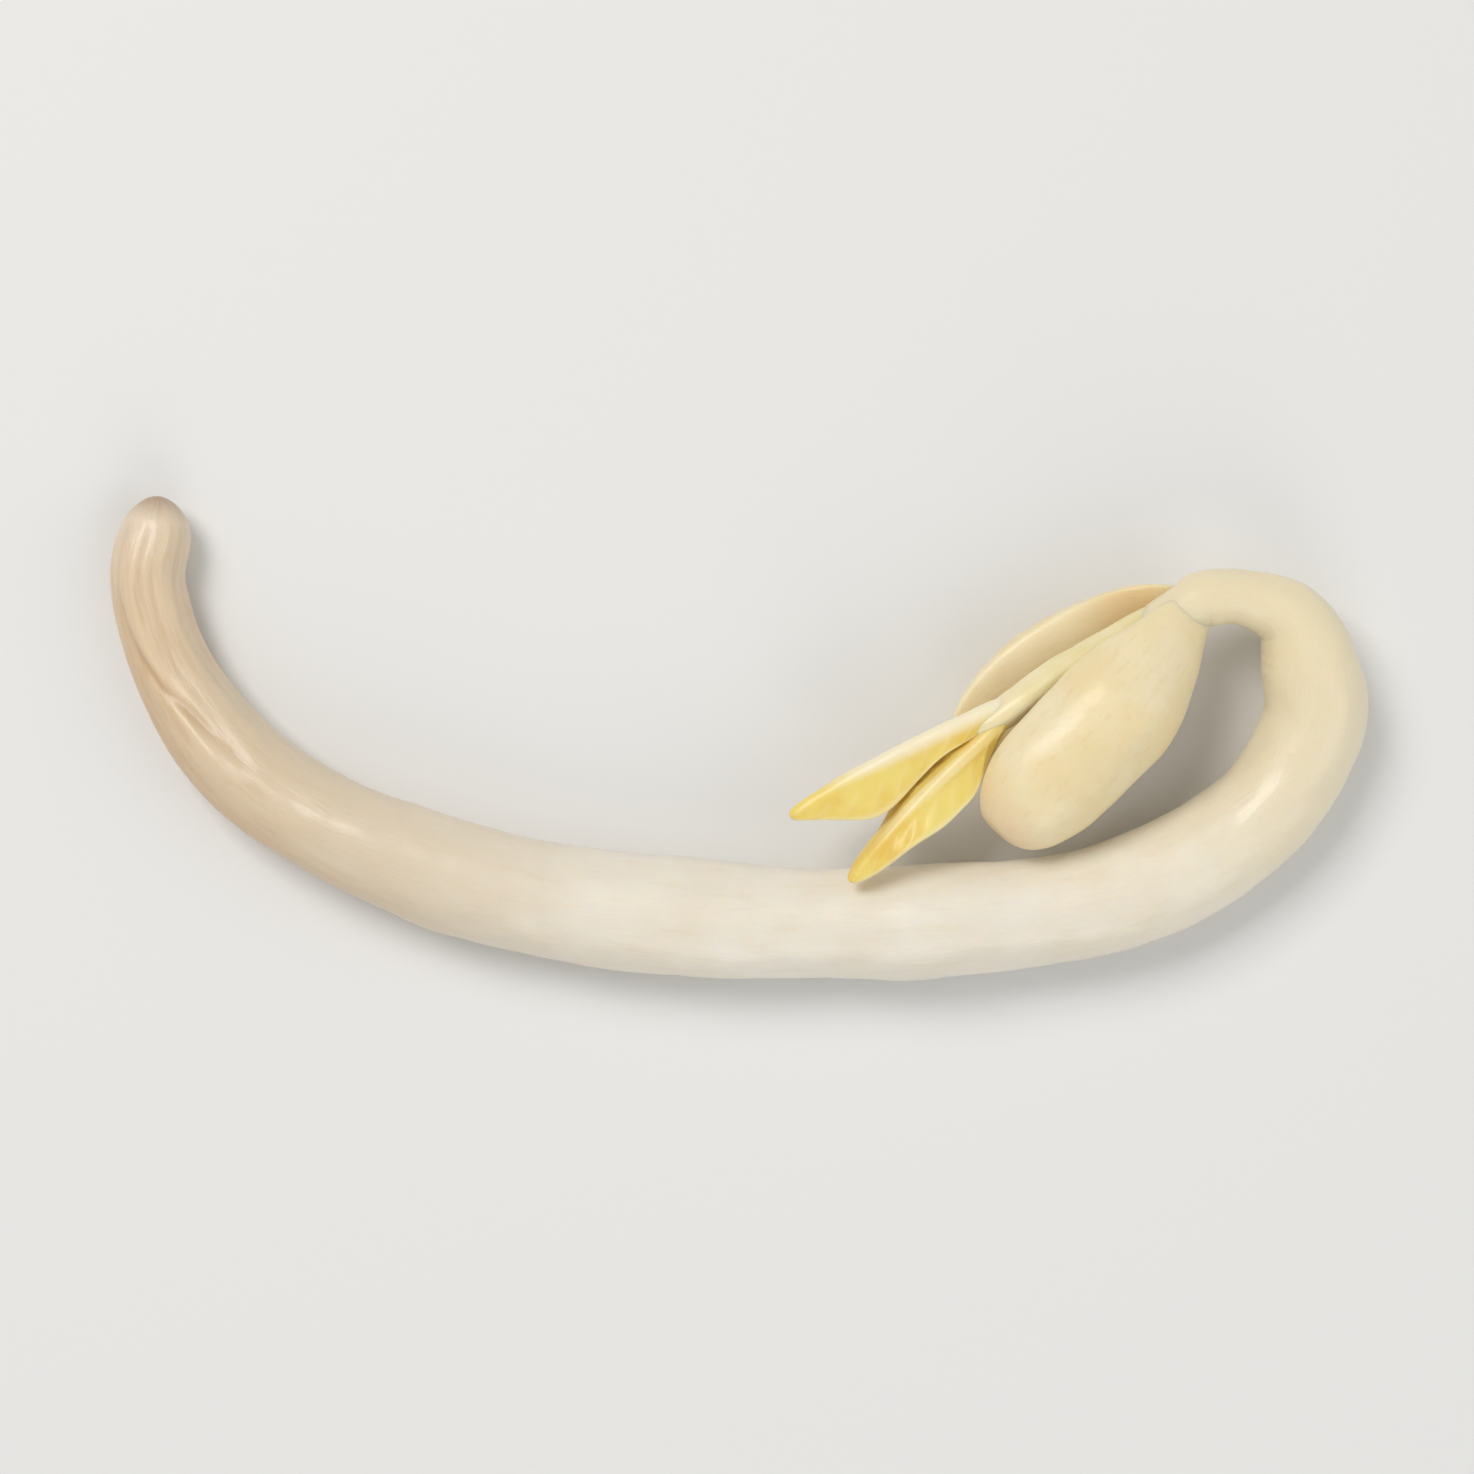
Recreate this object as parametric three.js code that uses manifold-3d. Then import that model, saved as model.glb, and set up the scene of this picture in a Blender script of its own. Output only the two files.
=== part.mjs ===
// One mung bean sprout, picked and laid on its side on a flat surface. Millimetres, +Z up.
//
// A thick white stem (the hypocotyl) bends like a C and runs out at its left end into a short tan root with
// a blunt tip. At its right end it thins to a yellowish hook that turns back over the stem. The hook carries
// the two halves of the bean (the cotyledons), and between them a short shoot (the epicotyl) with the first
// two leaves, folded lengthwise. The stem and the root grew as one piece. It touches the surface at three low
// spots.

import * as THREE from "three";
import { mergeVertices } from "three/addons/utils/BufferGeometryUtils.js";
import Module from "manifold-3d";

const wasm = await Module();
wasm.setup();

// Centreline of the root and stem, from the root tip to where the seed leaves join, with the diameter there.
// It lies low at three places, so that the stem is pressed flat there.
const STEM_ROUTE = [
  { at: [-20.95, 8.75, 1.1], across: 1.5 },
  { at: [-21.05, 7.6, 1.18], across: 2.25 },
  { at: [-21.3, 5.5, 1.28], across: 2.45 },
  { at: [-20.1, 2.2, 1.26], across: 2.75 },
  { at: [-17.7, -0.8, 1.6], across: 3.3 },
  { at: [-13.9, -3.1, 1.95], across: 3.7 },
  { at: [-8.4, -4.9, 2.0], across: 3.95 },
  { at: [-1.4, -5.8, 1.76], across: 3.95 },
  { at: [6.0, -5.8, 1.93], across: 3.85 },
  { at: [12.0, -4.9, 1.86], across: 3.7 },
  { at: [16.5, -2.5, 1.62], across: 3.65 },
  { at: [18.6, 0.7, 1.85], across: 3.6 },
  { at: [18.5, 3.0, 2.25], across: 3.3 },
  { at: [17.7, 4.6, 2.7], across: 2.5 },
  { at: [16.2, 5.2, 3.0], across: 1.95 },
  { at: [14.9, 5.18, 3.1], across: 1.9 },
  { at: [14.2, 4.85, 3.2], across: 1.7 },
  { at: [13.3, 4.42, 3.35], across: 1.35 },
  { at: [12.5, 4.05, 3.45], across: 1.1 },
];
const STEM_SIDES = 18;
const STEM_STEPS = 104;
const ROOT_SHARE = 0.2; // of the stem's length, from the root tip, that is ridged root
const ROOT_RIDGES = 6;
const ROOT_RIDGE_HEIGHT = 0.035; // of the radius
const ROOT_RIDGE_TWIST = 9; // radians over the whole length
const STEM_WAVE = 0.02; // of the radius, so that the stem is not a perfect rod
const STEM_WAVE_TURNS = [21, 46]; // radians over the whole length

// The middle of the sprout's footprint in the coordinates above, which becomes the origin.
const FOOTPRINT_CENTRE = new THREE.Vector3(-1.044, 0.474, 0);

const JOIN_GAP = 0.1; // left between neighbouring pieces
const END_STUB = 0.3; // of the radius, left at the very end of a rounded end

// The two halves of the bean, each a half shell, convex outside and more or less hollow inside. bluntness is
// the power of the outline's superellipse, and baseShare its share of the full width near the stalk end.
const COTYLEDON_BULGE = 2.05;
const COTYLEDON_BASE_BULGE = 0.5; // of the bulge, at the stalk end
const COTYLEDON_RIM = 0.55;
const COTYLEDON_ARCH = 0.6; // how far the tip curves back towards the shoot
const COTYLEDON_WIDEST = 0.5; // of the length, from the stalk end
const STALK_DROP = 0.55; // how far the stalk end dips towards the shoot
const STALK_SHARE = 0.25; // of the length
const COTYLEDON_SEGMENTS = [28, 18]; // round it and along it
const COTYLEDONS = [
  {
    name: "cotyledon_top", base: [14.78, 4.9, 3.75], along: [-0.66, -0.75, 0.02],
    outward: [0.3, -0.23, 0.93], length: 10.4, width: 4.45, hollow: 0.85, bluntness: 3.0, baseShare: 0.55,
  },
  {
    name: "cotyledon_under", base: [14.7, 5.25, 2.6], along: [-0.865, -0.5, -0.1],
    outward: [-0.18, 0.24, -0.95], length: 9.6, width: 4.0, hollow: 0.4, bluntness: 2.1, baseShare: 0.95,
  },
];

// The short shoot between them, with its two leaves.
const SHOOT_ROUTE = [
  { at: [13.4, 4.7, 3.35], across: 0.95 },
  { at: [12.2, 4.05, 3.5], across: 1.0 },
  { at: [9.9, 2.68, 3.75], across: 1.08 },
  { at: [8.6, 1.74, 3.85], across: 1.1 },
  { at: [7.6, 1.02, 3.89], across: 0.95 },
];
const SHOOT_SIDES = 14;
const SHOOT_STEPS = 18;

// Each leaf runs from base to tip. rib is the side that its midrib faces, and the two halves of the blade
// slope away from the midrib by fold degrees. The width grows from baseShare of halfWidth to all of it
// between the shares of the length in widens, and loses tipLoss towards the tip. Near its base the leaf is
// turned about its length by turn degrees, which it gives up between the shares in TURN_SPAN.
const LEAF_THICKNESS = 0.62;
const LEAF_FOLD_RADIUS = 0.4;
const LEAF_RIB_SPREAD = 0.3;
const TURN_SPAN = [0.25, 0.7];
const LEAF_SEGMENTS = [28, 18]; // round it and along it
const LEAVES = [
  {
    name: "first_leaf_long", base: [8.3, 1.6, 3.9], tip: [0.75, -2.25, 3.95], rib: [-0.4, 0.75, 0.55],
    halfWidth: 1.55, baseShare: 0.42, widens: [0.3, 0.7], tipLoss: 0.45, fold: 60, turn: 0, sag: 0.15,
    ribHeight: 0.16,
  },
  {
    name: "first_leaf_short", base: [8.2, 1.2, 3.9], tip: [2.75, -4.4, 4.0], rib: [-0.475, 0.475, 0.74],
    halfWidth: 1.2, baseShare: 0.3, widens: [0, 0.4], tipLoss: 0.3, fold: 20, turn: 32, sag: 0.25,
    ribHeight: 0.08,
  },
];

const WHITE_FLESH = new THREE.MeshStandardMaterial({ color: 0xf0e9da, roughness: 0.42, metalness: 0 });
const PALE_YELLOW = new THREE.MeshStandardMaterial({ color: 0xeddcaf, roughness: 0.5, metalness: 0 });
const SHOOT_CREAM = new THREE.MeshStandardMaterial({ color: 0xf0e6b4, roughness: 0.45, metalness: 0 });
const LEAF_YELLOW = new THREE.MeshStandardMaterial({ color: 0xe8d269, roughness: 0.5, metalness: 0 });

const UP = new THREE.Vector3(0, 0, 1);

function smooth(from, to, value) {
  return THREE.MathUtils.smoothstep(value, from, to);
}

function curveThrough(points) {
  return new THREE.CatmullRomCurve3(points, false, "catmullrom", 0.5);
}

// How much of a radius is left at a distance from an end that closes as half a ball.
function endShare(distance, radius) {
  const shortfall = Math.max(0, 1 - distance / radius);
  return Math.max(END_STUB, Math.sqrt(1 - shortfall * shortfall));
}

// A cylinder bent along a route, with rounded ends. relief(share of length, angle) scales the radius, and
// extra widens it by a fixed amount.
function sweptGeometry(route, { sides, steps, relief = () => 1, extra = 0 }) {
  const line = curveThrough(route.map(({ at }) => new THREE.Vector3(...at)));
  const radii = curveThrough(route.map(({ across }) => new THREE.Vector3(across / 2, 0, 0)));
  const length = line.getLength();
  const geometry = new THREE.CylinderGeometry(1, 1, 1, sides, steps);
  const position = geometry.getAttribute("position");
  for (let i = 0; i < position.count; i += 1) {
    const share = THREE.MathUtils.clamp(0.5 - position.getY(i), 0, 1);
    const angle = Math.atan2(position.getZ(i), position.getX(i));
    const t = line.getUtoTmapping(share);
    const radius = radii.getPoint(t).x;
    const ends = endShare(Math.min(share, 1 - share) * length, radius);
    const r = Math.hypot(position.getX(i), position.getZ(i)) * (radius * ends * relief(share, angle) + extra);
    const tangent = line.getTangent(t);
    const side = UP.clone().cross(tangent).normalize();
    const top = tangent.clone().cross(side);
    const point = line.getPoint(t)
      .addScaledVector(side, r * Math.cos(angle))
      .addScaledVector(top, r * Math.sin(angle));
    position.setXYZ(i, point.x, point.y, Math.max(point.z, 0));
  }
  return geometry;
}

// Soft ridges along the root, fading into the nearly smooth stem.
function stemRelief(share, angle) {
  const rootness = 1 - smooth(0.5 * ROOT_SHARE, 1.3 * ROOT_SHARE, share);
  const ridges = ROOT_RIDGE_HEIGHT * rootness * Math.cos(ROOT_RIDGES * angle + ROOT_RIDGE_TWIST * share);
  const wave = Math.sin(2 * angle + STEM_WAVE_TURNS[0] * share) + Math.sin(STEM_WAVE_TURNS[1] * share + 1);
  return 1 + ridges + STEM_WAVE * wave;
}

// Half the width of a cotyledon as a share of its full half width, at s of its length from the stalk end.
function cotyledonShare(s, bluntness, baseShare) {
  const blunt = (1 - Math.abs(2 * s - 1) ** bluntness) ** (1 / bluntness);
  return blunt * (baseShare + (1 - baseShare) * smooth(0, COTYLEDON_WIDEST, s));
}

// extra grows the shell on every side.
function cotyledonGeometry(cotyledon, extra = 0) {
  const { base, along, outward, length, width, hollow, bluntness, baseShare } = cotyledon;
  const lengthAxis = new THREE.Vector3(...along).normalize();
  const widthAxis = new THREE.Vector3(...outward).cross(lengthAxis).normalize();
  const depthAxis = lengthAxis.clone().cross(widthAxis);
  const geometry = new THREE.SphereGeometry(1, ...COTYLEDON_SEGMENTS); // its +Y pole is the stalk end
  const position = geometry.getAttribute("position");
  for (let i = 0; i < position.count; i += 1) {
    const s = THREE.MathUtils.clamp((1 - position.getY(i)) / 2, 0, 1);
    const ring = cotyledonShare(s, bluntness, baseShare);
    const angle = Math.atan2(position.getZ(i), position.getX(i));
    const rise = Math.sin(angle);
    const swell = COTYLEDON_BASE_BULGE + (1 - COTYLEDON_BASE_BULGE) * smooth(0, COTYLEDON_WIDEST, s);
    const depth = rise > 0
      ? (COTYLEDON_BULGE * swell + extra) * rise
      : (COTYLEDON_RIM + extra) * rise + hollow * rise * rise;
    const bend = COTYLEDON_ARCH * s * s + STALK_DROP * (1 - smooth(0, STALK_SHARE, s));
    const point = new THREE.Vector3(...base)
      .addScaledVector(lengthAxis, (length + 2 * extra) * s - extra)
      .addScaledVector(widthAxis, (width / 2 + extra) * ring * Math.cos(angle))
      .addScaledVector(depthAxis, depth * ring - bend);
    position.setXYZ(i, point.x, point.y, Math.max(point.z, 0));
  }
  return geometry;
}

// A point of a leaf's cross-section: v along the blade from the midrib, h off its middle surface. The fold
// is an arc, and each half beyond it slopes away straight.
function foldedPoint(v, h, slope) {
  const arc = Math.min(Math.abs(v), LEAF_FOLD_RADIUS * slope);
  const turn = Math.sign(v) * (arc / LEAF_FOLD_RADIUS);
  const beyond = Math.abs(v) - arc;
  return new THREE.Vector2(
    (LEAF_FOLD_RADIUS + h) * Math.sin(turn) + Math.sign(v) * beyond * Math.cos(slope),
    (LEAF_FOLD_RADIUS + h) * Math.cos(turn) - LEAF_FOLD_RADIUS - beyond * Math.sin(slope),
  );
}

// Half the width of a leaf, at s of its length from the base.
function leafHalfWidth(s, { halfWidth, baseShare, widens, tipLoss }) {
  const basePart = baseShare + (1 - baseShare) * smooth(...widens, s);
  return halfWidth * basePart * (1 - tipLoss * smooth(widens[1], 1, s));
}

// extra grows the leaf on every side.
function leafGeometry(leaf, extra = 0) {
  const start = new THREE.Vector3(...leaf.base);
  const lengthVector = new THREE.Vector3(...leaf.tip).sub(start);
  const widthAxis = new THREE.Vector3(...leaf.rib).cross(lengthVector).normalize();
  const ribAxis = lengthVector.clone().cross(widthAxis).normalize();
  const middle = new THREE.Vector2();
  const geometry = new THREE.SphereGeometry(1, ...LEAF_SEGMENTS); // its +Y pole is the base
  const position = geometry.getAttribute("position");
  for (let i = 0; i < position.count; i += 1) {
    const s = THREE.MathUtils.clamp((1 - position.getY(i)) / 2, 0, 1);
    const ring = Math.hypot(position.getX(i), position.getZ(i));
    const angle = Math.atan2(position.getZ(i), position.getX(i));
    const v = (leafHalfWidth(s, leaf) + extra) * ring * Math.cos(angle);
    const face = Math.sign(Math.sin(angle)) * Math.sqrt(Math.abs(Math.sin(angle)));
    const ridge = face > 0 ? leaf.ribHeight * Math.exp(-((v / LEAF_RIB_SPREAD) ** 2)) : 0;
    const h = (LEAF_THICKNESS / 2 + ridge + extra) * Math.sqrt(ring) * face;
    const turn = THREE.MathUtils.degToRad(leaf.turn) * (1 - smooth(...TURN_SPAN, s));
    const section = foldedPoint(v, h, THREE.MathUtils.degToRad(leaf.fold)).rotateAround(middle, -turn);
    const point = start.clone()
      .addScaledVector(lengthVector, s)
      .addScaledVector(widthAxis, section.x)
      .addScaledVector(ribAxis, section.y + leaf.sag * Math.sin(Math.PI * s));
    position.setXYZ(i, point.x, point.y, point.z);
  }
  return geometry;
}

// A three.js geometry as a solid, for cutting.
function solidOf(geometry) {
  const bare = geometry.clone();
  bare.deleteAttribute("normal");
  bare.deleteAttribute("uv");
  const merged = mergeVertices(bare, 1e-4);
  return new wasm.Manifold(
    new wasm.Mesh({
      numProp: 3,
      vertProperties: new Float32Array(merged.getAttribute("position").array),
      triVerts: new Uint32Array(merged.index.array),
    }),
  );
}

// A solid back as a geometry. Cutting can leave crumbs, so only the largest body is kept.
function geometryOf(solid) {
  const largest = solid.decompose().reduce((a, b) => (b.volume() > a.volume() ? b : a));
  const mesh = largest.getMesh();
  const geometry = new THREE.BufferGeometry();
  geometry.setAttribute("position", new THREE.BufferAttribute(mesh.vertProperties, 3));
  geometry.setIndex(new THREE.BufferAttribute(mesh.triVerts, 1));
  geometry.computeVertexNormals();
  return geometry;
}

const sprout = new THREE.Group();
sprout.name = "mung_bean_sprout";

const clearances = []; // of the pieces made so far, which the later ones are cut by

function addPiece(name, geometry, clearance, material) {
  const solid = clearances.reduce((rest, taken) => rest.subtract(taken), solidOf(geometry));
  clearances.push(solidOf(clearance));
  const centred = geometryOf(solid).translate(-FOOTPRINT_CENTRE.x, -FOOTPRINT_CENTRE.y, 0);
  const mesh = new THREE.Mesh(centred, material);
  mesh.name = name;
  sprout.add(mesh);
}

function addSweptPiece(name, route, shape, material) {
  addPiece(name, sweptGeometry(route, shape), sweptGeometry(route, { ...shape, extra: JOIN_GAP }), material);
}

addSweptPiece("hypocotyl_and_root", STEM_ROUTE,
  { sides: STEM_SIDES, steps: STEM_STEPS, relief: stemRelief }, WHITE_FLESH);
addSweptPiece("epicotyl", SHOOT_ROUTE, { sides: SHOOT_SIDES, steps: SHOOT_STEPS }, SHOOT_CREAM);
for (const cotyledon of COTYLEDONS) {
  addPiece(cotyledon.name, cotyledonGeometry(cotyledon), cotyledonGeometry(cotyledon, JOIN_GAP), PALE_YELLOW);
}
for (const leaf of LEAVES) {
  addPiece(leaf.name, leafGeometry(leaf), leafGeometry(leaf, JOIN_GAP), LEAF_YELLOW);
}

export default sprout;
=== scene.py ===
# One mung bean sprout lying on a plain pale floor. Metres, +Z up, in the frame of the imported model.
import math

import bpy
import numpy as np
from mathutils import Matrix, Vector


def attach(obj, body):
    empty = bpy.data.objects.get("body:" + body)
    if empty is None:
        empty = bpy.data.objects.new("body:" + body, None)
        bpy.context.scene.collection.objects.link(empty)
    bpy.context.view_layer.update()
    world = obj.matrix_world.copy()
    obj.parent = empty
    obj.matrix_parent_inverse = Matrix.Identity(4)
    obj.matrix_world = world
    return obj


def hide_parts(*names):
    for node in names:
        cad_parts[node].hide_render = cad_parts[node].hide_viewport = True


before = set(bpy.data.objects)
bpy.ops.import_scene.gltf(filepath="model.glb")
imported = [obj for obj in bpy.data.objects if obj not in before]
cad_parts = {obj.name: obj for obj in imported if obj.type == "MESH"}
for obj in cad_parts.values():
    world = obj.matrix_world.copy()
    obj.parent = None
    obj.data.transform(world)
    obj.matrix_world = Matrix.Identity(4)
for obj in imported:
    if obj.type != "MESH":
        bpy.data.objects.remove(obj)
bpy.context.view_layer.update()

MM = 0.001
UP = np.array([0.0, 0.0, 1.0])

# The centreline of the root and stem, and of the shoot, in millimetres: x, y, z and the diameter there.
STEM_ROUTE = [
    (-20.95, 8.75, 1.1, 1.5),
    (-21.05, 7.6, 1.18, 2.25),
    (-21.3, 5.5, 1.28, 2.45),
    (-20.1, 2.2, 1.26, 2.75),
    (-17.7, -0.8, 1.6, 3.3),
    (-13.9, -3.1, 1.95, 3.7),
    (-8.4, -4.9, 2.0, 3.95),
    (-1.4, -5.8, 1.76, 3.95),
    (6.0, -5.8, 1.93, 3.85),
    (12.0, -4.9, 1.86, 3.7),
    (16.5, -2.5, 1.62, 3.65),
    (18.6, 0.7, 1.85, 3.6),
    (18.5, 3.0, 2.25, 3.3),
    (17.7, 4.6, 2.7, 2.5),
    (16.2, 5.2, 3.0, 1.95),
    (14.9, 5.18, 3.1, 1.9),
    (14.2, 4.85, 3.2, 1.7),
    (13.3, 4.42, 3.35, 1.35),
    (12.3, 3.95, 3.48, 1.02),
    (11.5, 3.55, 3.55, 0.8),
    (10.9, 3.25, 3.6, 0.5),
]
SHOOT_ROUTE = [
    (13.4, 4.7, 3.35, 0.85),
    (12.2, 4.05, 3.5, 0.95),
    (9.9, 2.68, 3.75, 1.08),
    (8.6, 1.74, 3.85, 1.1),
    (7.8, 1.15, 3.88, 1.0),
    (7.1, 0.76, 3.9, 0.7),
    (6.6, 0.5, 3.9, 0.4),
]
ROUTE_SAMPLES = 4001
CAP_PART = 12  # one step in so many goes into rounding off each end
FOOTPRINT_CENTRE = (-1.044, 0.474, 0.0)  # becomes the origin
FLOOR_SOFTNESS = 0.06  # mm, over which a pressed spot rounds off
WAVES = 14  # sines that add up to one layer of lumps
WAVE_FREQUENCIES = (0.7, 1.4)  # the slowest and fastest of them, against the layer's own

# Bumps are layers of lumps, each with its height and size in millimetres. A span holds four shares of the
# length, where something starts, is full, starts to fade and ends. Turns are radians over the whole length,
# and a sway is the size of a sine and its turns.

# The stem's surface. Heights with MM in their name are millimetres, the others shares of the radius.
STEM_SIDES = 112
STEM_STEPS = 720
STEM_END_SHARE = 0.018
STEM_BUMPS = ((0.02, 2.6), (0.006, 0.7))
ROOT_RIDGE_SPAN = (0, 0.03, 0.1, 0.26)
ROOT_RIDGES = 6
ROOT_RIDGE_HEIGHT = 0.035
ROOT_RIDGE_TURNS = 9
ROOT_FINE_RIDGES = 17
ROOT_FINE_HEIGHT = 0.01
ROOT_FINE_SWAY = (1.4, 60)
ROOT_CREASE_SPAN = (0.04, 0.09, 0.12, 0.2)
ROOT_CREASE_MM = 0.11
ROOT_CREASE_ANGLE = 1.95  # where the deepest crease runs, 0 at the inner side and pi/2 on top
ROOT_CREASE_SWAY = (0.5, 30)
ROOT_CREASE_WIDTH = 0.15  # radians
STEM_WAVE = 0.02
STEM_WAVE_TURNS = (21, 46)
FLUTES = 7
FLUTE_HEIGHT = 0.006
HOOK_SPAN = (0.8, 0.87, 0.92, 0.95)
HOOK_CREASE_TURNS = 700
HOOK_CREASE_HEIGHT = 0.008
HOOK_CREASE_SWAYS = ((2.2, 83), (1.3, 211))

# The seed leaves.
COTYLEDON_BUMPS = ((0.03, 2.4), (0.008, 0.8))
COTYLEDON_BULGE = 2.05
COTYLEDON_BASE_BULGE = 0.5  # of the bulge, at the stalk end
COTYLEDON_RIM = 0.55
COTYLEDON_ARCH = 0.6
COTYLEDON_WIDEST = 0.5  # of the length, where the outline has grown from its base share to its width
STALK_DROP = 0.55  # how far the stalk end dips towards the shoot
STALK_SHARE = 0.25  # of the length
COTYLEDON_SIDES = 144
COTYLEDON_STEPS = 128
COTYLEDON_SMOOTH_END = 0.04  # of the length, over which the bumps fade out at each end
GROOVE_DEPTH = 0.12
GROOVE_HALF_WIDTH = 0.3  # of the half width
GROOVE_START = (0.02, 0.2)  # of the length, over which the groove deepens
# along runs from the stalk end to the tip and outward away from the bean's other half. hollow is how far the
# inner face is sunk in its middle, and a higher bluntness makes blunter ends.
COTYLEDONS = [
    {
        "name": "cotyledon_top", "base": (15.04, 5.2, 3.79), "along": (-0.66, -0.75, 0.02),
        "outward": (0.3, -0.23, 0.93), "length": 10.8, "width": 4.55, "hollow": 0.85,
        "bluntness": 2.9, "base_share": 0.5,
    },
    {
        "name": "cotyledon_under", "base": (14.7, 5.25, 2.6), "along": (-0.865, -0.5, -0.1),
        "outward": (-0.18, 0.24, -0.95), "length": 9.6, "width": 4.0, "hollow": 0.4,
        "bluntness": 2.1, "base_share": 0.95,
    },
]

# The shoot and its leaves.
SHOOT_SIDES = 64
SHOOT_STEPS = 160
SHOOT_END_SHARE = 0.09
SHOOT_BUMPS = ((0.008, 0.6),)
SHOOT_FLUTES = 3
SHOOT_FLUTE_HEIGHT = 0.05  # of the radius, like the next one
SHOOT_OVAL_HEIGHT = 0.03
SHOOT_OVAL_TURNS = 9
LEAF_SIDES = 176
LEAF_STEPS = 150
LEAF_BUMPS = ((0.012, 1.1),)
LEAF_THICKNESS = 0.34
LEAF_FOLD_RADIUS = 0.4
LEAF_RIB_SPREAD = 0.22
LEAF_RIB_TAPER = 0.35  # how much of its width the pale rib loses
LEAF_RIB_TAPERING = (0.4, 0.8)  # of the length, over which it loses it
LEAF_VEINS = 9
LEAF_VEIN_SLANT = 1.5
LEAF_VEIN_SPAN = (0.1, 0.45, 0.75, 1)  # of the half width
LEAF_PLEAT = 0.015
LEAF_MARGIN_WAVE = 0.09
LEAF_MARGIN_TURNS = 17
LEAF_STALK = 0.2  # added to half the thickness at the base, where the leaf narrows to its stalk
LEAF_STALK_SHARE = 0.25  # of the length
LEAF_UNTURNING = (0.25, 0.7)  # of the length, over which a leaf gives its turn up
# widens holds the shares of the length between which a leaf grows from its base share to its full width.
# fold and turn are degrees: each half slopes down from the rib by the fold, and near the base the leaf is
# turned about its length.
LEAVES = [
    {
        "name": "first_leaf_long", "base": (8.3, 1.6, 3.9), "tip": (0.75, -2.25, 3.95),
        "rib": (-0.4, 0.75, 0.55), "half_width": 1.55, "base_share": 0.42, "widens": (0.3, 0.7),
        "tip_loss": 0.45, "fold": 60, "turn": 0, "sag": 0.15,
        "rib_height": 0.3, "rib_width": 0.25, "rib_tint": 0.95, "rib_span": (-0.1, 0, 0.6, 0.9),
    },
    {
        "name": "first_leaf_short", "base": (8.2, 1.2, 3.9), "tip": (2.75, -4.4, 4.0),
        "rib": (-0.475, 0.475, 0.74), "half_width": 1.2, "base_share": 0.3, "widens": (0, 0.4),
        "tip_loss": 0.3, "fold": 20, "turn": 32, "sag": 0.25,
        "rib_height": 0.13, "rib_width": 0.15, "rib_tint": 0.45, "rib_span": (-0.1, 0.4, 0.6, 0.9),
    },
]

# Colours, as linear red, green and blue.
FLESH = (0.83, 0.755, 0.625)
FLESH_PALE = (0.87, 0.82, 0.715)
FLESH_STREAK = (0.77, 0.67, 0.5)
NECK = (0.86, 0.74, 0.475)
# The next colour is the stem's own tan towards the root, made darker as painted shade.
BASE_TAN_AND_SHADE = (0.68, 0.54, 0.36)
ROOT_TAN = (0.75, 0.57, 0.375)
# The next colour draws the root's lines and also paints shade into its crease.
ROOT_LINE_AND_CREASE_SHADE = (0.56, 0.36, 0.18)
ROOT_TIP = (0.3, 0.15, 0.065)
SEED_LEAF = (0.87, 0.72, 0.42)
SEED_LEAF_PALE = (0.9, 0.78, 0.52)
# The next colour is the inner face's own paler yellow, lightened further as painted light.
SEED_LEAF_INSIDE_PALE_AND_LIT = (0.96, 0.81, 0.54)
# The next colour draws deeper streaks and also paints shade on the inner face near the stalk.
SEED_LEAF_DEEP_AND_SHADE = (0.8, 0.6, 0.3)
SEED_LEAF_SPOT = (0.84, 0.6, 0.37)
SEED_LEAF_STALK = (0.93, 0.76, 0.475)
SHOOT_COLOUR = (0.88, 0.755, 0.44)
SHOOT_GREEN = (0.82, 0.74, 0.36)
SHOOT_END = (0.94, 0.78, 0.48)
LEAF_GOLD = (0.88, 0.71, 0.2)
LEAF_DEEP = (0.83, 0.58, 0.11)
LEAF_RIM = (0.94, 0.835, 0.61)
FLOOR_COLOUR = (0.8, 0.79, 0.77)

# Where the root's tan ends, as shares of the length.
ROOT_TAN_SLANT = 0.08  # further out on the outer side than in the middle, and less far on the inner one
ROOT_TAN_UNEVENNESS = 0.12

# How light goes into the flesh, for all its finishes.
REACH_OF_COLOURS = (1.0, 0.72, 0.42)  # red goes furthest, then green and blue
REFRACTION = 1.4
COAT_ROUGHNESS = 0.16

CAMERA_HEIGHT = 0.128
CAMERA_LENS = 90
CAMERA_NEAREST = 0.005
FLOOR_HALF = 0.4
FLOOR_ROUGHNESS = 0.7
# Area lights: name, place, width, watts, colour.
LIGHTS = [
    ("key", (-0.16, 0.17, 0.33), 0.18, 0.85, (1.0, 0.985, 0.965)),
    ("fill", (0.3, -0.05, 0.26), 0.3, 0.3, (0.97, 0.985, 1.0)),
    ("rim", (0.05, -0.3, 0.2), 0.2, 0.22, (1.0, 0.99, 0.97)),
]
SKY = (0.96, 0.98, 1.0)
SKY_STRENGTH = 0.42


def smooth(low, high, value):
    share = np.clip((value - low) / (high - low), 0.0, 1.0)
    return share * share * (3 - 2 * share)


def unit(vector):
    return vector / np.linalg.norm(vector, axis=-1, keepdims=True)


def through(points, t):
    """The points of a Catmull-Rom curve through points, at shares t of its run."""
    count = len(points)
    padded = np.vstack([2 * points[0] - points[1], points, 2 * points[-1] - points[-2]])
    place = t * (count - 1)
    index = np.minimum(place.astype(int), count - 2)
    w = (place - index)[:, None]
    before, here, there, after = (padded[index + k] for k in range(4))
    leave, arrive = 0.5 * (there - before), 0.5 * (after - here)
    return (
        here + leave * w + (3 * (there - here) - 2 * leave - arrive) * w**2
        + (2 * (here - there) + leave + arrive) * w**3
    )


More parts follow.
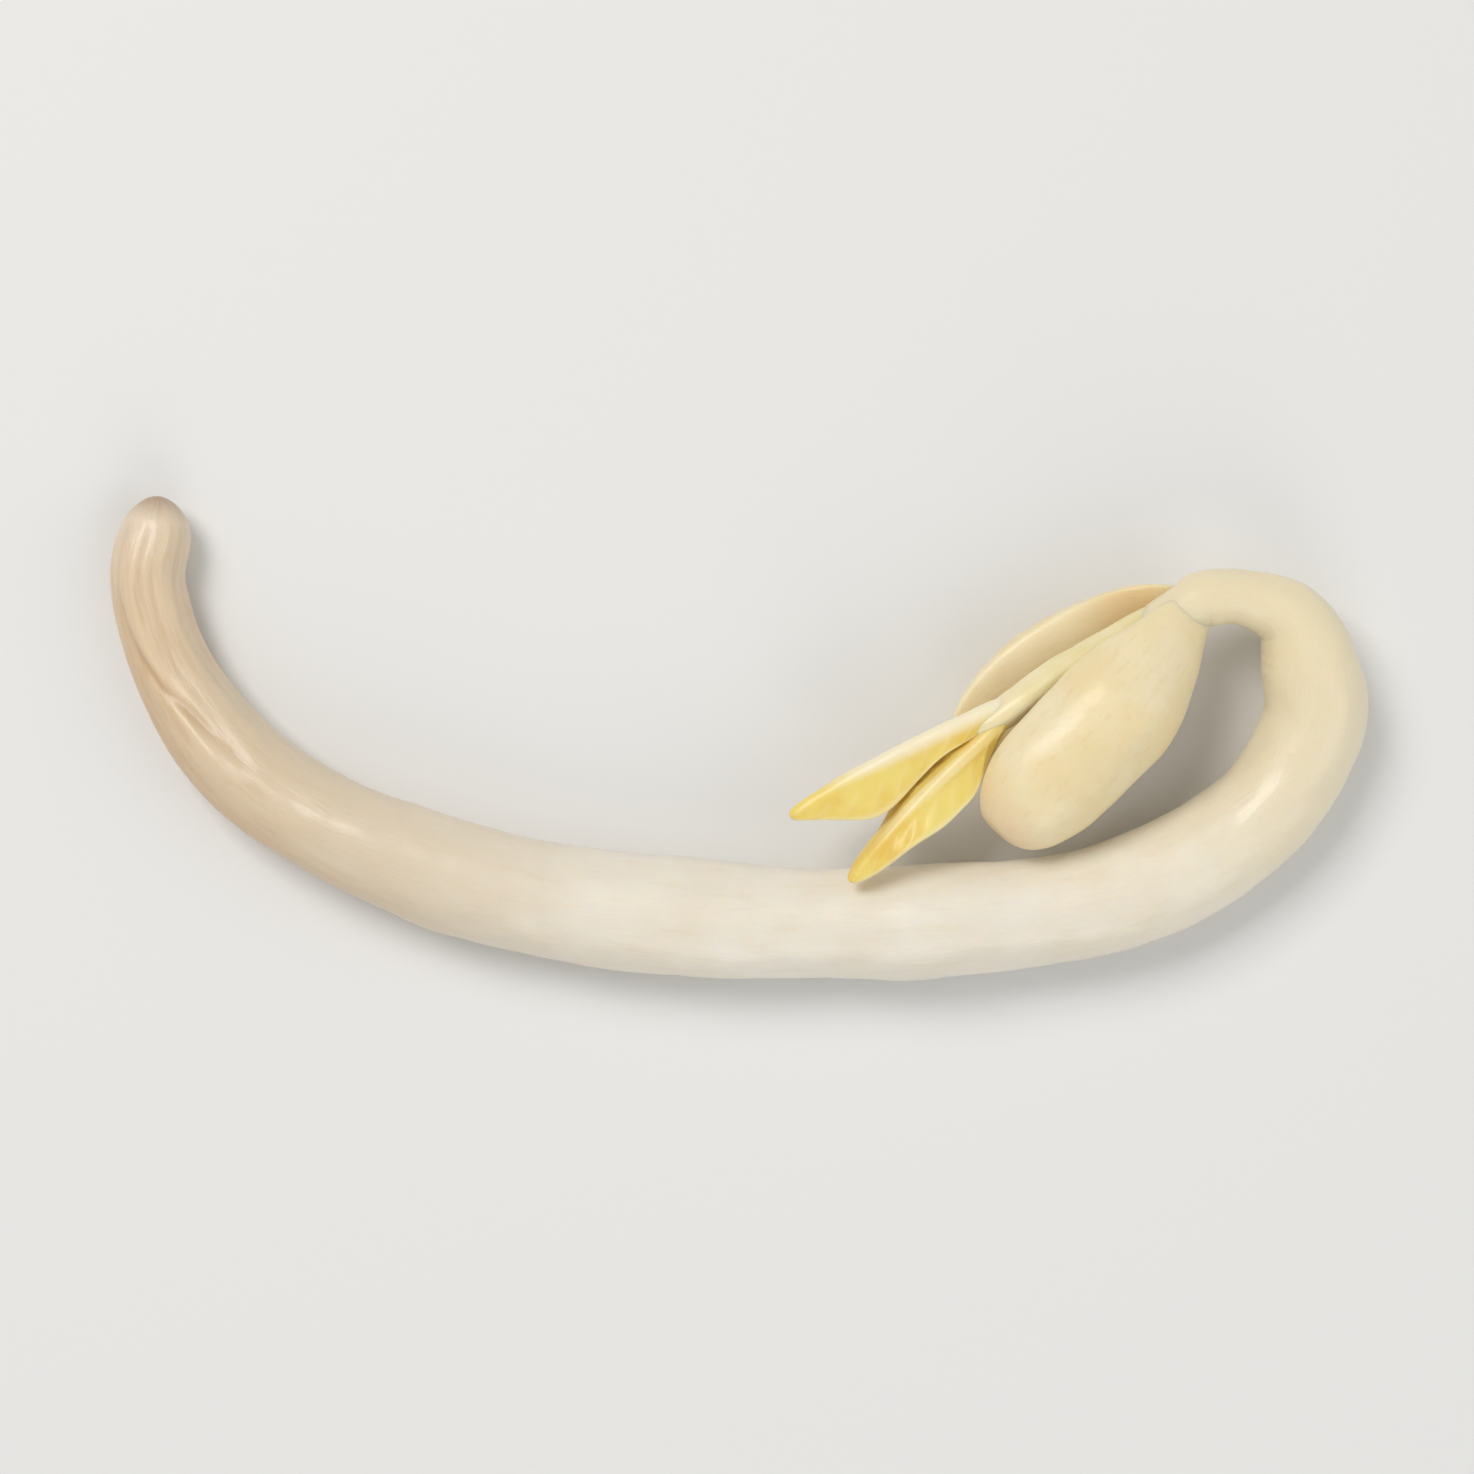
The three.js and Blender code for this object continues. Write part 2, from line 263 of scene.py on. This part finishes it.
def follow(route, shares):
    """Places, directions, radii and the length along a route, at shares of its length."""
    route = np.array(route, float)
    dense = np.linspace(0, 1, ROUTE_SAMPLES)
    run = through(route, dense)
    steps = np.linalg.norm(np.diff(run[:, :3], axis=0), axis=1)
    travelled = np.concatenate([[0.0], np.cumsum(steps)])
    t = np.interp(shares, travelled / travelled[-1], dense)
    here = through(route, t)
    nudge = 1e-4
    ahead, behind = through(route, np.clip(t + nudge, 0, 1)), through(route, np.clip(t - nudge, 0, 1))
    direction = unit(ahead[:, :3] - behind[:, :3])
    return here[:, :3], direction, here[:, 3] / 2, travelled[-1]


def crowded(steps, end_share):
    """Shares between 0 and 1 that crowd towards both ends, where a piece rounds off."""
    turn = np.linspace(0, math.pi / 2, steps // CAP_PART + 1)[1:]
    cap = end_share * (1 - np.cos(turn))
    middle = np.linspace(end_share, 1 - end_share, steps)[1:-1]
    return np.concatenate([cap, middle, 1 - cap[::-1]])


def blade_grid(steps, sides):
    """A half circle's turn along a blade and the shares of its length as columns, the angles as a row."""
    turn = np.linspace(0, math.pi, steps + 2)[1:-1, None]
    angle = np.linspace(0, 2 * math.pi, sides, endpoint=False)[None, :]
    return turn, (1 - np.cos(turn)) / 2, angle


def lumps(points, size, seed):
    """Smooth bumps over the points, from about -2 to 2, each about size millimetres across."""
    draw = np.random.default_rng(seed)
    total = 0.0
    for _ in range(WAVES):
        direction = unit(draw.normal(size=3))
        frequency = math.pi / size * draw.uniform(*WAVE_FREQUENCIES)
        total = total + np.sin(points @ direction * frequency + draw.uniform(0, 2 * math.pi))
    return total / math.sqrt(WAVES / 2)


def bumps(points, layers, seed):
    return sum(height * lumps(points, size, seed + k) for k, (height, size) in enumerate(layers))


def within(span, share):
    """0 outside the span, 1 in the middle of it and smooth between."""
    start, full, fading, end = span
    return smooth(start, full, share) * (1 - smooth(fading, end, share))


def swayed(sway, share, ahead=0.0):
    size, turns = sway
    return size * np.sin(turns * share + ahead)


def raised(rings, heights):
    """The rings moved out along the surface's normals by heights, in millimetres."""
    around = np.roll(rings, -1, axis=1) - np.roll(rings, 1, axis=1)
    onward = np.gradient(rings, axis=0)
    return rings + unit(np.cross(around, onward)) * heights[..., None]


def pressed(points):
    """The points with what would be under the floor pressed up to it."""
    z = points[..., 2]
    low = FLOOR_SOFTNESS
    points[..., 2] = np.where(z < low, low * np.exp(np.minimum(z, low) / low - 1), z)
    return points


def swept(route, steps, sides, end_share, relief):
    """Rings of points along a route with rounded ends. relief(share, angle) scales the radius."""
    shares = crowded(steps, end_share)
    places, directions, radii, length = follow(route, shares)
    angles = np.linspace(0, 2 * math.pi, sides, endpoint=False)
    side = unit(np.cross(UP, directions))
    top = np.cross(directions, side)
    shortfall = np.maximum(0, 1 - np.minimum(shares, 1 - shares) * length / radii)
    radius = (radii * np.sqrt(1 - shortfall**2))[:, None] * relief(shares[:, None], angles[None, :])
    across, upward = radius * np.cos(angles), radius * np.sin(angles)
    rings = places[:, None] + side[:, None] * across[..., None] + top[:, None] * upward[..., None]
    ends = follow(route, np.array([0.0, 1.0]))[0]
    return shares, angles, rings, ends


def skin_faces(steps, sides):
    """Four-sided faces between the rings, and a fan of triangles around the pole at each end."""
    first, last = steps * sides, steps * sides + 1
    turn = np.arange(sides)
    following = (turn + 1) % sides
    faces = []
    for step in range(steps - 1):
        low, high = step * sides, (step + 1) * sides
        faces += np.stack([low + turn, low + following, high + following, high + turn], 1).tolist()
    top = (steps - 1) * sides
    faces += [[first, int(b), int(a)] for a, b in zip(turn, following)]
    faces += [[last, int(top + a), int(top + b)] for a, b in zip(turn, following)]
    return faces


def in_scene(name, data):
    made = bpy.data.objects.new(name, data)
    bpy.context.scene.collection.objects.link(made)
    return made


def skin(name, rings, ends, traits):
    """A closed mesh over rings of points (steps, sides, 3), in millimetres, with a pole at each end.

    traits holds values for each ring point, as (steps, sides) arrays, which become mesh attributes.
    """
    steps, sides = rings.shape[:2]
    points = np.vstack([rings.reshape(-1, 3), ends]) - np.array(FOOTPRINT_CENTRE)
    mesh = bpy.data.meshes.new(name)
    mesh.from_pydata((points * MM).tolist(), [], skin_faces(steps, sides))
    for trait, values in traits.items():
        values = np.broadcast_to(values, (steps, sides))
        flat = np.concatenate([values.ravel(), [values[0].mean()], [values[-1].mean()]])
        mesh.attributes.new(trait, "FLOAT", "POINT").data.foreach_set("value", flat.astype(np.float32))
    mesh.shade_smooth()
    return in_scene(name, mesh)


def side_traits(angles):
    """How far each side of a swept piece faces the inner side of its curve, and how far it faces up."""
    return {"inner": np.cos(angles)[None, :], "top": np.sin(angles)[None, :]}


def stem_relief(share, angle):
    rootness = within(ROOT_RIDGE_SPAN, share)
    ridges = ROOT_RIDGE_HEIGHT * np.cos(ROOT_RIDGES * angle + ROOT_RIDGE_TURNS * share)
    sideways = swayed(ROOT_FINE_SWAY, share)
    fine = ROOT_FINE_HEIGHT * np.cos(ROOT_FINE_RIDGES * angle + sideways)
    flutes = FLUTE_HEIGHT * (1 - rootness) * np.cos(FLUTES * angle + 2 * sideways)
    wave = np.sin(2 * angle + STEM_WAVE_TURNS[0] * share) + np.sin(STEM_WAVE_TURNS[1] * share + 1)
    hooked = within(HOOK_SPAN, share) * np.maximum(0, np.cos(angle)) ** 2
    uneven = swayed(HOOK_CREASE_SWAYS[0], share) + swayed(HOOK_CREASE_SWAYS[1], share, 2 * angle)
    creases = HOOK_CREASE_HEIGHT * hooked * np.sin(HOOK_CREASE_TURNS * share + uneven)
    return 1 + rootness * (ridges + fine) + flutes + STEM_WAVE * wave + creases


def stem():
    """The root, the stem and the hook in one piece, pressed flat where it lies on the floor."""
    shares, angles, rings, ends = swept(STEM_ROUTE, STEM_STEPS, STEM_SIDES, STEM_END_SHARE, stem_relief)
    share = shares[:, None]
    swing = angles[None, :] - ROOT_CREASE_ANGLE - swayed(ROOT_CREASE_SWAY, share)
    crease = np.exp(-((swing / ROOT_CREASE_WIDTH) ** 2)) * within(ROOT_CREASE_SPAN, share)
    rings = pressed(raised(rings, bumps(rings, STEM_BUMPS, 11) - ROOT_CREASE_MM * crease))
    traits = {"along": share, "crease": crease, **side_traits(angles)}
    return skin("sprout_stem", rings, ends, traits)


def shoot_relief(share, angle):
    """Not quite round: three shallow flutes, and an oval that turns along the length."""
    flutes = SHOOT_FLUTE_HEIGHT * np.cos(SHOOT_FLUTES * angle + 2)
    return 1 + flutes + SHOOT_OVAL_HEIGHT * np.cos(2 * angle + SHOOT_OVAL_TURNS * share)


def shoot():
    shares, angles, rings, ends = swept(SHOOT_ROUTE, SHOOT_STEPS, SHOOT_SIDES, SHOOT_END_SHARE, shoot_relief)
    rings = raised(rings, bumps(rings, SHOOT_BUMPS, 21))
    return skin("sprout_shoot", rings, ends, {"along": shares[:, None], **side_traits(angles)})


def cotyledon_share(s, bluntness, base_share):
    """How much of its full width a seed leaf has at share s of its length."""
    blunt = (1 - np.abs(2 * s - 1) ** bluntness) ** (1 / bluntness)
    return blunt * (base_share + (1 - base_share) * smooth(0, COTYLEDON_WIDEST, s))


def cotyledon_depth(s, across, rise, hollow):
    """How far a seed leaf's skin is off the plane of its rim where it is widest."""
    groove = GROOVE_DEPTH * np.exp(-((across / GROOVE_HALF_WIDTH) ** 2)) * smooth(*GROOVE_START, s)
    swell = COTYLEDON_BASE_BULGE + (1 - COTYLEDON_BASE_BULGE) * smooth(0, COTYLEDON_WIDEST, s)
    outer = COTYLEDON_BULGE * swell * rise
    inner = COTYLEDON_RIM * rise + hollow * rise**2 + groove
    return np.where(rise > 0, outer, inner)


def cotyledon(values, seed):
    """One half of the bean: it bulges outside, and its inner face has a hollow with a groove along it."""
    base = np.array(values["base"])
    long_way = unit(np.array(values["along"]))
    wide_way = unit(np.cross(np.array(values["outward"]), long_way))
    deep_way = np.cross(long_way, wide_way)
    s, angle = blade_grid(COTYLEDON_STEPS, COTYLEDON_SIDES)[1:]
    across, rise = np.cos(angle), np.sin(angle)
    ring = cotyledon_share(s, values["bluntness"], values["base_share"])
    bend = COTYLEDON_ARCH * s**2 + STALK_DROP * (1 - smooth(0, STALK_SHARE, s))
    depth = cotyledon_depth(s, across, rise, values["hollow"]) * ring - bend
    width = values["width"] / 2 * ring * across
    rings = (
        base + long_way * (values["length"] * s)[..., None] + wide_way * width[..., None]
        + deep_way * depth[..., None]
    )
    bumpy = smooth(0, COTYLEDON_SMOOTH_END, s) * smooth(0, COTYLEDON_SMOOTH_END, 1 - s)
    rings = pressed(raised(rings, bumps(rings, COTYLEDON_BUMPS, seed) * bumpy))
    tip = base + long_way * values["length"]
    ends = np.array([base - deep_way * STALK_DROP, tip - deep_way * COTYLEDON_ARCH])
    return skin("sprout_" + values["name"], rings, ends, {"along": s, "across": across, "outer": rise})


def folded(v, h, slope):
    """Sideways and upward places of a point v from the rib and h off the middle of a folded leaf."""
    arc = np.minimum(np.abs(v), LEAF_FOLD_RADIUS * slope)
    turn = np.sign(v) * arc / LEAF_FOLD_RADIUS
    beyond = np.abs(v) - arc
    sideways = (LEAF_FOLD_RADIUS + h) * np.sin(turn) + np.sign(v) * beyond * math.cos(slope)
    upward = (LEAF_FOLD_RADIUS + h) * np.cos(turn) - LEAF_FOLD_RADIUS - beyond * math.sin(slope)
    return sideways, upward


def twisted(sideways, upward, twist):
    cos, sin = np.cos(twist), np.sin(twist)
    return sideways * cos + upward * sin, upward * cos - sideways * sin


def leaf_half_width(s, values):
    """Half the width of a leaf, measured over its fold, before its ends close."""
    base_part = values["base_share"] + (1 - values["base_share"]) * smooth(*values["widens"], s)
    return values["half_width"] * base_part * (1 - values["tip_loss"] * smooth(values["widens"][1], 1, s))


def leaf_veins(s, across):
    """Slanting waves on both halves of the blade, gone at the rib and at the margin."""
    off_rib = np.abs(across)
    waves = np.cos(2 * math.pi * LEAF_VEINS * (s - LEAF_VEIN_SLANT * off_rib / LEAF_VEINS))
    return waves * within(LEAF_VEIN_SPAN, off_rib)


def leaf_height(s, ring, angle, v, rib_height):
    """How far a leaf's skin is off the middle of its blade."""
    across = np.cos(angle)
    face = np.sign(np.sin(angle)) * np.sqrt(np.abs(np.sin(angle)))
    ridge = np.where(face > 0, rib_height * np.exp(-((v / LEAF_RIB_SPREAD) ** 2)), 0)
    stalk = LEAF_STALK * (1 - smooth(0, LEAF_STALK_SHARE, s))
    wave = LEAF_MARGIN_WAVE * np.sin(LEAF_MARGIN_TURNS * s + 2 * np.sign(across)) * across**2
    middle = (LEAF_PLEAT * leaf_veins(s, across) + wave) * ring
    return (LEAF_THICKNESS / 2 + ridge + stalk) * np.sqrt(ring) * face + middle


def leaf_rib(s, v, values):
    """How pale the leaf is along its rib."""
    width = values["rib_width"] * (1 - LEAF_RIB_TAPER * smooth(*LEAF_RIB_TAPERING, s))
    return values["rib_tint"] * np.exp(-((v / width) ** 4)) * within(values["rib_span"], s)


def leaf(values, seed):
    """A first leaf, folded at its rib, with faint veins and a wavy margin."""
    base, tip = np.array(values["base"]), np.array(values["tip"])
    long_way = tip - base
    wide_way = unit(np.cross(np.array(values["rib"]), long_way))
    rib_way = unit(np.cross(long_way, wide_way))
    turn, s, angle = blade_grid(LEAF_STEPS, LEAF_SIDES)
    ring, across = np.sin(turn), np.cos(angle)
    v = leaf_half_width(s, values) * ring * across
    h = leaf_height(s, ring, angle, v, values["rib_height"])
    sideways, upward = folded(v, h, math.radians(values["fold"]))
    twist = math.radians(values["turn"]) * (1 - smooth(*LEAF_UNTURNING, s))
    sideways, upward = twisted(sideways, upward, twist)
    upward = upward + values["sag"] * np.sin(math.pi * s)
    rings = (
        base + long_way * s[..., None] + wide_way * sideways[..., None] + rib_way * upward[..., None]
    )
    rings = raised(rings, bumps(rings, LEAF_BUMPS, seed) * ring)
    traits = {"along": s, "across": across, "rib": leaf_rib(s, v, values), "veins": leaf_veins(s, across)}
    return skin("sprout_" + values["name"], rings, np.array([base, tip]), traits)


# The sockets of a colour mix node.
MIX_SHARE, MIX_A, MIX_B, MIX_RESULT = 0, 6, 7, 2


class Finish:
    """A material and the steps that make its nodes."""

    def __init__(self, name, *, subsurface, radius_mm, roughness_range, coat):
        self.material = bpy.data.materials.new(name)
        self.material.use_nodes = True
        self.tree = self.material.node_tree
        self.shader = self.tree.nodes["Principled BSDF"]
        self.shader.inputs["Subsurface Weight"].default_value = subsurface
        self.shader.inputs["Subsurface Radius"].default_value = REACH_OF_COLOURS
        self.shader.inputs["Subsurface Scale"].default_value = radius_mm * MM
        self.shader.inputs["IOR"].default_value = REFRACTION
        self.shader.inputs["Coat Weight"].default_value = coat
        self.shader.inputs["Coat Roughness"].default_value = COAT_ROUGHNESS
        self.roughness_range = roughness_range

    def add(self, kind, inputs, **settings):
        node = self.tree.nodes.new(kind)
        for key, value in settings.items():
            setattr(node, key, value)
        for key, value in inputs.items():
            if isinstance(value, bpy.types.NodeSocket):
                self.tree.links.new(value, node.inputs[key])
            else:
                node.inputs[key].default_value = value
        return node

    def trait(self, name):
        return self.add("ShaderNodeAttribute", {}, attribute_name=name).outputs["Fac"]

    def calc(self, operation, a, b=0.0):
        return self.add("ShaderNodeMath", {0: a, 1: b}, operation=operation).outputs[0]

    def vector(self, x, y, z):
        return self.add("ShaderNodeCombineXYZ", {0: x, 1: y, 2: z}).outputs[0]

    def place(self):
        """The point on the piece, in millimetres."""
        coordinates = self.add("ShaderNodeTexCoord", {}).outputs["Object"]
        scaled = self.add("ShaderNodeVectorMath", {0: coordinates, 3: 1 / MM}, operation="SCALE")
        return scaled.outputs[0]

    def noise(self, where, size, detail=3.0):
        inputs = {"Vector": where, "Scale": 1 / size, "Detail": detail}
        return self.add("ShaderNodeTexNoise", inputs).outputs["Fac"]

    def step(self, low, high, value):
        """0 below low, 1 above high and smooth between."""
        inputs = {"Value": value, "From Min": low, "From Max": high}
        return self.add("ShaderNodeMapRange", inputs, interpolation_type="SMOOTHSTEP").outputs[0]

    def fall(self, low, high, value):
        """1 below low, 0 above high and smooth between."""
        inputs = {"Value": value, "From Min": low, "From Max": high, "To Min": 1.0, "To Max": 0.0}
        return self.add("ShaderNodeMapRange", inputs, interpolation_type="SMOOTHSTEP").outputs[0]

    def within(self, span, value):
        """0 outside the span, 1 in the middle of it and smooth between."""
        start, full, fading, end = span
        return self.times(self.step(start, full, value), self.fall(fading, end, value))

    def times(self, a, b):
        return self.calc("MULTIPLY", a, b)

    def plus(self, a, b):
        return self.calc("ADD", a, b)

    def blend(self, a, b, share):
        """A share of the value a and the rest of the value b."""
        return self.plus(self.times(a, share), self.times(b, 1 - share))

    def tinted(self, colour, tint, share, most=1.0):
        """The colour with the tint mixed in by share, up to most."""
        a, b = (c if isinstance(c, bpy.types.NodeSocket) else (*c, 1.0) for c in (colour, tint))
        inputs = {MIX_SHARE: self.times(share, most), MIX_A: a, MIX_B: b}
        return self.add("ShaderNodeMix", inputs, data_type="RGBA").outputs[MIX_RESULT]

    def finish(self, colour, dullness, height, bump_mm):
        """Sets the colour, the roughness by dullness from 0 to 1, and a bump of bump_mm."""
        low, high = self.roughness_range
        inputs = {"Value": dullness, "To Min": low, "To Max": high}
        rough = self.add("ShaderNodeMapRange", inputs).outputs[0]
        bump = self.add("ShaderNodeBump", {"Height": height, "Distance": bump_mm * MM})
        self.tree.links.new(colour, self.shader.inputs["Base Color"])
        self.tree.links.new(rough, self.shader.inputs["Roughness"])
        self.tree.links.new(bump.outputs[0], self.shader.inputs["Normal"])
        return self.material


# In the finishes, steps, falls and spans of along are shares of the length, those of inner, across and outer
# go from -1 on one side to 1 on the other, and those of noises go from 0 to 1.


def root_share(look, along, inner, patches):
    """1 near the root end and 0 beyond it. It reaches further on the outer side, and its end is uneven."""
    uneven = look.times(look.plus(patches, -0.5), ROOT_TAN_UNEVENNESS)
    reach = look.plus(look.plus(along, look.times(inner, ROOT_TAN_SLANT)), uneven)
    return look.times(look.fall(0.04, 0.26, reach), look.step(-0.06, 0.08, along))


def stem_finish():
    """Pale flesh with streaks along it, yellower in the hook, tan and lined at the root, brown at its tip.
    Towards the root the tan is darkened as painted shade, and the root's crease is darkened as painted shade.
    """
    look = Finish(
        "sprout_flesh", subsurface=0.55, radius_mm=0.7, roughness_range=(0.28, 0.46), coat=0.22
    )
    along, inner, top = look.trait("along"), look.trait("inner"), look.trait("top")
    grain = look.vector(look.times(along, 5.0), inner, top)
    streaks = look.noise(grain, size=0.16, detail=5.0)
    lines = look.noise(grain, size=0.05)
    patches = look.noise(look.place(), size=3.4)
    cells = look.noise(look.place(), size=0.22, detail=2.0)
    colour = look.tinted(FLESH, FLESH_PALE, look.step(0.3, 0.75, patches))
    colour = look.tinted(colour, FLESH_STREAK, look.step(0.5, 0.75, streaks), most=0.3)
    colour = look.tinted(colour, NECK, look.step(0.6, 0.9, along), most=0.8)
    # Tan towards the root, darkened as painted shade.
    colour = look.tinted(colour, BASE_TAN_AND_SHADE, look.within((-0.03, 0.1, 0.16, 0.46), along), most=0.75)
    tan = look.tinted(ROOT_TAN, ROOT_LINE_AND_CREASE_SHADE, look.step(0.42, 0.68, streaks), most=0.45)
    colour = look.tinted(colour, tan, root_share(look, along, inner, patches), most=0.8)
    # Painted shade in the root's crease.
    colour = look.tinted(colour, ROOT_LINE_AND_CREASE_SHADE, look.trait("crease"), most=0.5)
    bend = look.within((0.04, 0.12, 0.18, 0.34), along)
    colour = look.tinted(colour, ROOT_LINE_AND_CREASE_SHADE, look.times(look.fall(-0.95, -0.45, inner), bend), most=0.4)
    browned = look.fall(0.002, 0.022, look.plus(along, look.times(streaks, 0.01)))
    colour = look.tinted(colour, ROOT_TIP, browned, most=0.8)
    return look.finish(colour, patches, look.blend(lines, cells, 0.6), bump_mm=0.03)


def seed_leaf_finish():
    """Yellow with deeper streaks, paler inside and at the stalk, and reddish at the tip. The inner face is
    paler still as painted light, and darker towards the stalk as painted shade.
    """
    look = Finish(
        "sprout_seed_leaf", subsurface=0.4, radius_mm=0.5, roughness_range=(0.3, 0.5), coat=0.15
    )
    along, across, outer = look.trait("along"), look.trait("across"), look.trait("outer")
    place = look.place()
    patches, fine = look.noise(place, size=2.2), look.noise(place, size=0.35, detail=4.0)
    streaks = look.noise(look.vector(look.times(along, 2.2), across, outer), size=0.12, detail=4.0)
    colour = look.tinted(SEED_LEAF, SEED_LEAF_PALE, look.step(0.35, 0.68, patches))
    colour = look.tinted(colour, SEED_LEAF_DEEP_AND_SHADE, look.step(0.5, 0.75, streaks), most=0.35)
    inside = look.fall(-0.35, 0.1, outer)
    # The inner face is paler, partly its own colour and partly painted light.
    colour = look.tinted(colour, SEED_LEAF_INSIDE_PALE_AND_LIT, inside, most=0.85)
    # Painted shade on the inner face towards the stalk.
    colour = look.tinted(colour, SEED_LEAF_DEEP_AND_SHADE, look.times(inside, look.fall(0.2, 0.5, along)), most=0.8)
    stalk = look.times(look.fall(0.06, 0.26, along), look.step(-0.2, 0.2, outer))
    colour = look.tinted(colour, SEED_LEAF_STALK, stalk)
    tip = look.step(0.88, 0.99, look.plus(along, look.times(across, -0.04)))
    colour = look.tinted(colour, SEED_LEAF_SPOT, look.times(tip, patches), most=0.9)
    return look.finish(colour, fine, look.blend(streaks, fine, 0.5), bump_mm=0.035)


def shoot_finish():
    """Pale yellow with greener streaks, light patches and a lighter end at the leaves."""
    look = Finish(
        "sprout_shoot", subsurface=0.4, radius_mm=0.4, roughness_range=(0.28, 0.45), coat=0.25
    )
    along, inner, top = look.trait("along"), look.trait("inner"), look.trait("top")
    streaks = look.noise(look.vector(look.times(along, 1.2), inner, top), size=0.2, detail=4.0)
    patches = look.noise(look.place(), size=1.4)
    colour = look.tinted(SHOOT_COLOUR, SHOOT_GREEN, look.step(0.4, 0.7, streaks))
    colour = look.tinted(colour, LEAF_RIM, look.step(0.4, 0.65, patches), most=0.5)
    colour = look.tinted(colour, SHOOT_END, look.step(0.6, 0.88, along), most=0.7)
    return look.finish(colour, patches, streaks, bump_mm=0.025)


def leaf_finish():
    """Gold, deeper in patches and near the base, with a pale rib, margin and veins."""
    look = Finish(
        "sprout_first_leaf", subsurface=0.35, radius_mm=0.4, roughness_range=(0.32, 0.5), coat=0.2
    )
    along, across = look.trait("along"), look.trait("across")
    place = look.place()
    patches, fine = look.noise(place, size=1.6), look.noise(place, size=0.2, detail=4.0)
    veins = look.times(look.step(0.4, 1.0, look.trait("veins")), fine)
    colour = look.tinted(LEAF_GOLD, LEAF_DEEP, look.step(0.35, 0.7, patches))
    colour = look.tinted(colour, LEAF_DEEP, look.fall(0.1, 0.5, along), most=0.75)
    colour = look.tinted(colour, LEAF_RIM, veins, most=0.2)
    colour = look.tinted(colour, LEAF_RIM, look.step(0.8, 1.0, look.calc("ABSOLUTE", across)), most=0.45)
    colour = look.tinted(colour, LEAF_RIM, look.trait("rib"))
    colour = look.tinted(colour, SHOOT_COLOUR, look.fall(0.01, 0.06, along))
    return look.finish(colour, fine, look.blend(veins, fine, 0.5), bump_mm=0.03)


def lay(piece, node, material):
    """Puts the piece in the frame in the place of its node."""
    piece.data.materials.append(material)
    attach(piece, "root")
    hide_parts(node)


def sprout():
    lay(stem(), "hypocotyl_and_root", stem_finish())
    lay(shoot(), "epicotyl", shoot_finish())
    seed_leaf = seed_leaf_finish()
    for seed, values in enumerate(COTYLEDONS):
        lay(cotyledon(values, 31 + 2 * seed), values["name"], seed_leaf)
    first_leaf = leaf_finish()
    for seed, values in enumerate(LEAVES):
        lay(leaf(values, 41 + seed), values["name"], first_leaf)


def floor():
    mesh = bpy.data.meshes.new("floor")
    h = FLOOR_HALF
    mesh.from_pydata([(-h, -h, 0), (h, -h, 0), (h, h, 0), (-h, h, 0)], [], [(0, 1, 2, 3)])
    piece = in_scene("floor", mesh)
    material = bpy.data.materials.new("floor")
    material.use_nodes = True
    shader = material.node_tree.nodes["Principled BSDF"]
    shader.inputs["Base Color"].default_value = (*FLOOR_COLOUR, 1.0)
    shader.inputs["Roughness"].default_value = FLOOR_ROUGHNESS
    mesh.materials.append(material)


def lights():
    for name, place, width, watts, colour in LIGHTS:
        light = bpy.data.lights.new(name, "AREA")
        light.size = width
        light.energy = watts
        light.color = colour
        lamp = in_scene(name, light)
        lamp.location = place
        lamp.rotation_euler = (-Vector(place)).to_track_quat("-Z", "Y").to_euler()


def sky():
    world = bpy.data.worlds.new("soft_light")
    world.use_nodes = True
    background = world.node_tree.nodes["Background"]
    background.inputs["Color"].default_value = (*SKY, 1.0)
    background.inputs["Strength"].default_value = SKY_STRENGTH
    bpy.context.scene.world = world


def camera():
    """Straight down on the sprout, with its hook to the right and the open side of its curve up."""
    data = bpy.data.cameras.new("camera")
    data.lens = CAMERA_LENS
    data.clip_start = CAMERA_NEAREST
    eye = in_scene("camera", data)
    eye.location = (0, 0, CAMERA_HEIGHT)
    bpy.context.scene.camera = eye


sprout()
floor()
lights()
sky()
camera()
bpy.context.scene.view_settings.view_transform = "Standard"
